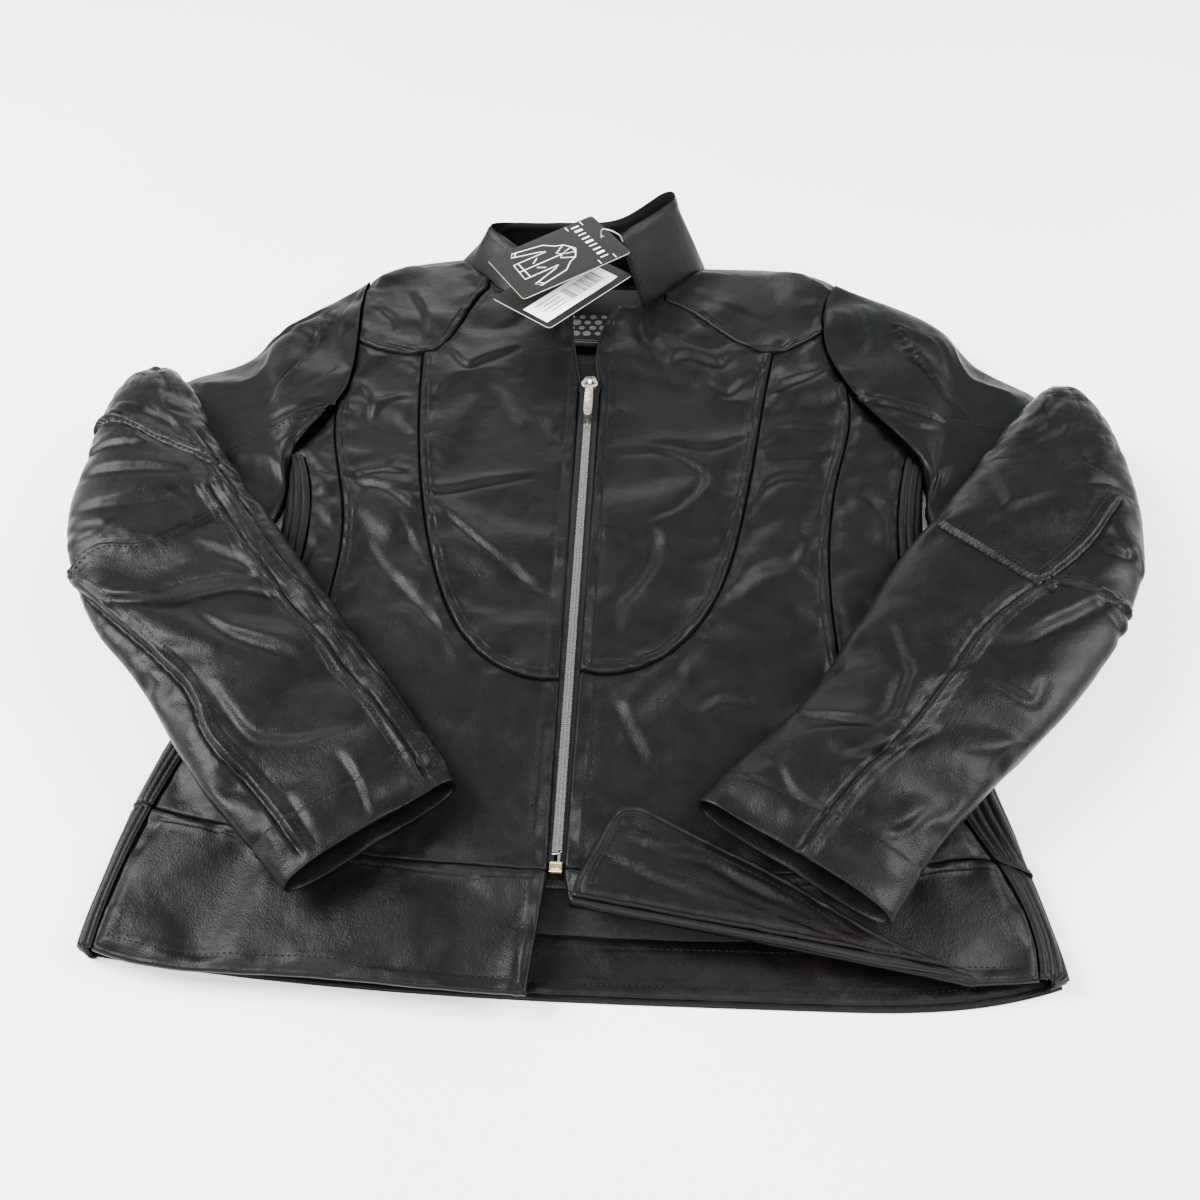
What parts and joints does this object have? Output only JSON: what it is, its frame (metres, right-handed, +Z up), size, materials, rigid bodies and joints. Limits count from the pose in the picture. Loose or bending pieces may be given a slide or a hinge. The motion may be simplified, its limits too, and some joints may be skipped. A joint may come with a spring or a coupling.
{
  "type": "leather jacket",
  "caption": "Black leather zip jacket with a stand collar, shoulder yokes, curved front seams and ribbed sides, laid out flat with its sleeves folded over the front.",
  "frame": {"origin": "bottom centre of the box round the jacket as it lies, on the floor under its back", "axes": "+Z up from the floor, +Y from hem to collar, +X to the viewer's right when seen from the hem, which is the wearer's left"},
  "size_m": [0.676, 0.6396, 0.0844],
  "materials": {
    "leather": "semi-gloss black grained leather with soft creases",
    "lining": "dark satin lining cloth",
    "zip_tape": "matte woven tape",
    "label_cloth": "woven label",
    "zip_steel": "bright nickel-plated teeth and slider",
    "pull_metal": "worn antique pull",
    "zip_brass": "plated bottom stop",
    "card": "coated dark card with a pale cut edge",
    "sticker": "matte white paper label",
    "clear_plastic": "thin clear plastic loop"
  },
  "bodies": {
    "root": {"back_panel": "leather", "back_lining": "lining", "back_hem_facing": "leather", "neck_label": "label_cloth", "right_yoke": "leather", "right_front_bib": "leather", "right_front_panel": "leather", "right_side_panel": "leather", "right_side_rib": "leather", "right_hem_band": "leather", "right_hem_rib": "leather", "right_zip_facing": "leather", "right_front_lining": "lining", "left_yoke": "leather", "left_front_bib": "leather", "left_front_panel": "leather", "left_side_panel": "leather", "left_side_rib": "leather", "left_hem_band": "leather", "left_hem_rib": "leather", "left_zip_facing": "leather", "left_front_lining": "lining", "zip_tape_right": "zip_tape", "zip_tape_left": "zip_tape", "zip_teeth_right": "zip_steel", "zip_teeth_left": "zip_steel", "zip_box": "zip_brass", "zip_pin": "zip_brass", "zip_wind_flap": "leather", "collar_right": "leather", "collar_back": "leather", "collar_left": "leather", "collar_facing": "leather", "tag_fastener": "clear_plastic"},
    "zip_slider": {"zip_slider": "zip_steel"},
    "zip_pull": {"zip_pull": "pull_metal"},
    "hem_flap": {"hem_flap": "leather", "hem_flap_facing": "leather"},
    "right_upper_arm": {"right_upper_arm_top": "leather", "right_upper_arm_under": "leather", "right_upper_arm_lining": "lining"},
    "right_forearm": {"right_cuff_hem": "leather", "right_forearm_under": "leather", "right_elbow_panel": "leather", "right_forearm_outer": "leather", "right_forearm_inner": "leather", "right_forearm_lining": "lining"},
    "left_upper_arm": {"left_upper_arm_top": "leather", "left_upper_arm_under": "leather", "left_upper_arm_lining": "lining"},
    "left_forearm": {"left_cuff_hem": "leather", "left_forearm_under": "leather", "left_elbow_panel": "leather", "left_forearm_outer": "leather", "left_forearm_inner": "leather", "left_forearm_lining": "lining"},
    "hang_tag_front": {"hang_tag_front": "card"},
    "hang_tag_back": {"hang_tag_back": "card", "tag_sticker": "sticker"}
  },
  "joints": [
    {"name": "zip_slide", "type": "slide", "parent": "root", "child": "zip_slider", "axis": [0, -0.9996, -0.0288], "range_m": [0, 0.362], "deforming": ["zip_teeth_right", "zip_teeth_left"]},
    {"name": "zip_pull_swing", "type": "hinge", "parent": "zip_slider", "child": "zip_pull", "pos_m": [-0.013, 0.132, 0.0349], "axis": [-1, 0, 0], "range_deg": [0, 150]},
    {"name": "hem_fold", "type": "hinge", "parent": "root", "child": "hem_flap", "pos_m": [0.092, -0.289, 0.02], "axis": [0.9867, -0.1627, 0], "range_deg": [0, 180]},
    {"name": "right_shoulder", "type": "hinge", "parent": "root", "child": "right_upper_arm", "pos_m": [-0.1966, 0.258, 0.017], "axis": [0, 0, -1], "range_deg": [0, 25]},
    {"name": "right_elbow", "type": "hinge", "parent": "right_upper_arm", "child": "right_forearm", "pos_m": [-0.284, 0.055, 0.027], "axis": [0, 0, -1], "range_deg": [0, 60]},
    {"name": "left_shoulder", "type": "hinge", "parent": "root", "child": "left_upper_arm", "pos_m": [0.1786, 0.274, 0.017], "axis": [0, 0, 1], "range_deg": [0, 25]},
    {"name": "left_elbow", "type": "hinge", "parent": "left_upper_arm", "child": "left_forearm", "pos_m": [0.286, 0.055, 0.027], "axis": [0, 0, 1], "range_deg": [0, 60]},
    {"name": "front_tag_swing", "type": "hinge", "parent": "root", "child": "hang_tag_front", "pos_m": [-0.009, 0.252, 0.077], "axis": [-0.077, -0.0836, 0.9935], "range_deg": [-8, 8]},
    {"name": "back_tag_swing", "type": "hinge", "parent": "root", "child": "hang_tag_back", "pos_m": [-0.013, 0.245, 0.057], "axis": [0, 0, 1], "range_deg": [-8, 8]}
  ]
}
